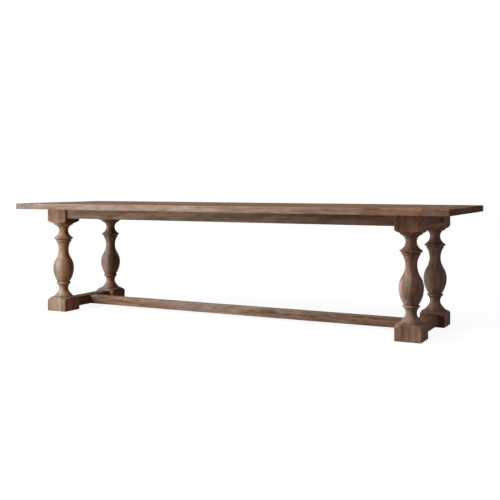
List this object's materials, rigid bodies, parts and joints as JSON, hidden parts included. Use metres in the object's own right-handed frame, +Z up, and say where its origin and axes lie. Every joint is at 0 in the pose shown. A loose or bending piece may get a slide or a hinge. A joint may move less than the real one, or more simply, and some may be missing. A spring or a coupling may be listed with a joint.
{
  "type": "dining table",
  "caption": "Long farmhouse dining table: plank top with breadboard ends, turned baluster legs on square plinths, recessed aprons and an H of low stretchers.",
  "frame": {"origin": "on the floor under the middle of the top", "axes": "+X along the table to the right of the pictured view, +Y across it to the back, +Z up"},
  "size_m": [3.048, 0.952, 0.762],
  "materials": {
    "top_oak": "weathered, matt",
    "base_oak": "weathered, matt",
    "inner_wood": "planed, unfinished",
    "zinc_steel": "zinc plated",
    "black_steel": "black paint",
    "glide": "moulded nylon"
  },
  "bodies": {
    "root": {"apron_back": "base_oak", "apron_front": "base_oak", "apron_left": "base_oak", "apron_right": "base_oak", "barrel_nuts": "zinc_steel", "bearer_1": "inner_wood", "bearer_2": "inner_wood", "bearer_3": "inner_wood", "bearer_screws": "zinc_steel", "bracket_back_left": "black_steel", "bracket_back_right": "black_steel", "bracket_front_left": "black_steel", "bracket_front_right": "black_steel", "bracket_screws": "zinc_steel", "breadboard_left": "top_oak", "breadboard_pegs_left": "inner_wood", "breadboard_pegs_right": "inner_wood", "breadboard_right": "top_oak", "button_screws": "zinc_steel", "end_stretcher_left": "base_oak", "end_stretcher_right": "base_oak", "foot_glide_back_left": "glide", "foot_glide_back_right": "glide", "foot_glide_front_left": "glide", "foot_glide_front_right": "glide", "lag_bolts": "zinc_steel", "lag_washers": "zinc_steel", "leg_back_left": "base_oak", "leg_back_right": "base_oak", "leg_front_left": "base_oak", "leg_front_right": "base_oak", "long_stretcher": "base_oak", "plank_splines": "inner_wood", "stretcher_bolts": "zinc_steel", "stretcher_plugs": "base_oak", "stretcher_washers": "zinc_steel", "top_buttons_back": "inner_wood", "top_buttons_front": "inner_wood", "top_buttons_left": "inner_wood", "top_buttons_right": "inner_wood", "top_plank_1": "top_oak", "top_plank_2": "top_oak", "top_plank_3": "top_oak", "top_plank_4": "top_oak", "top_plank_5": "top_oak", "top_plank_6": "top_oak"}
  },
  "joints": []
}
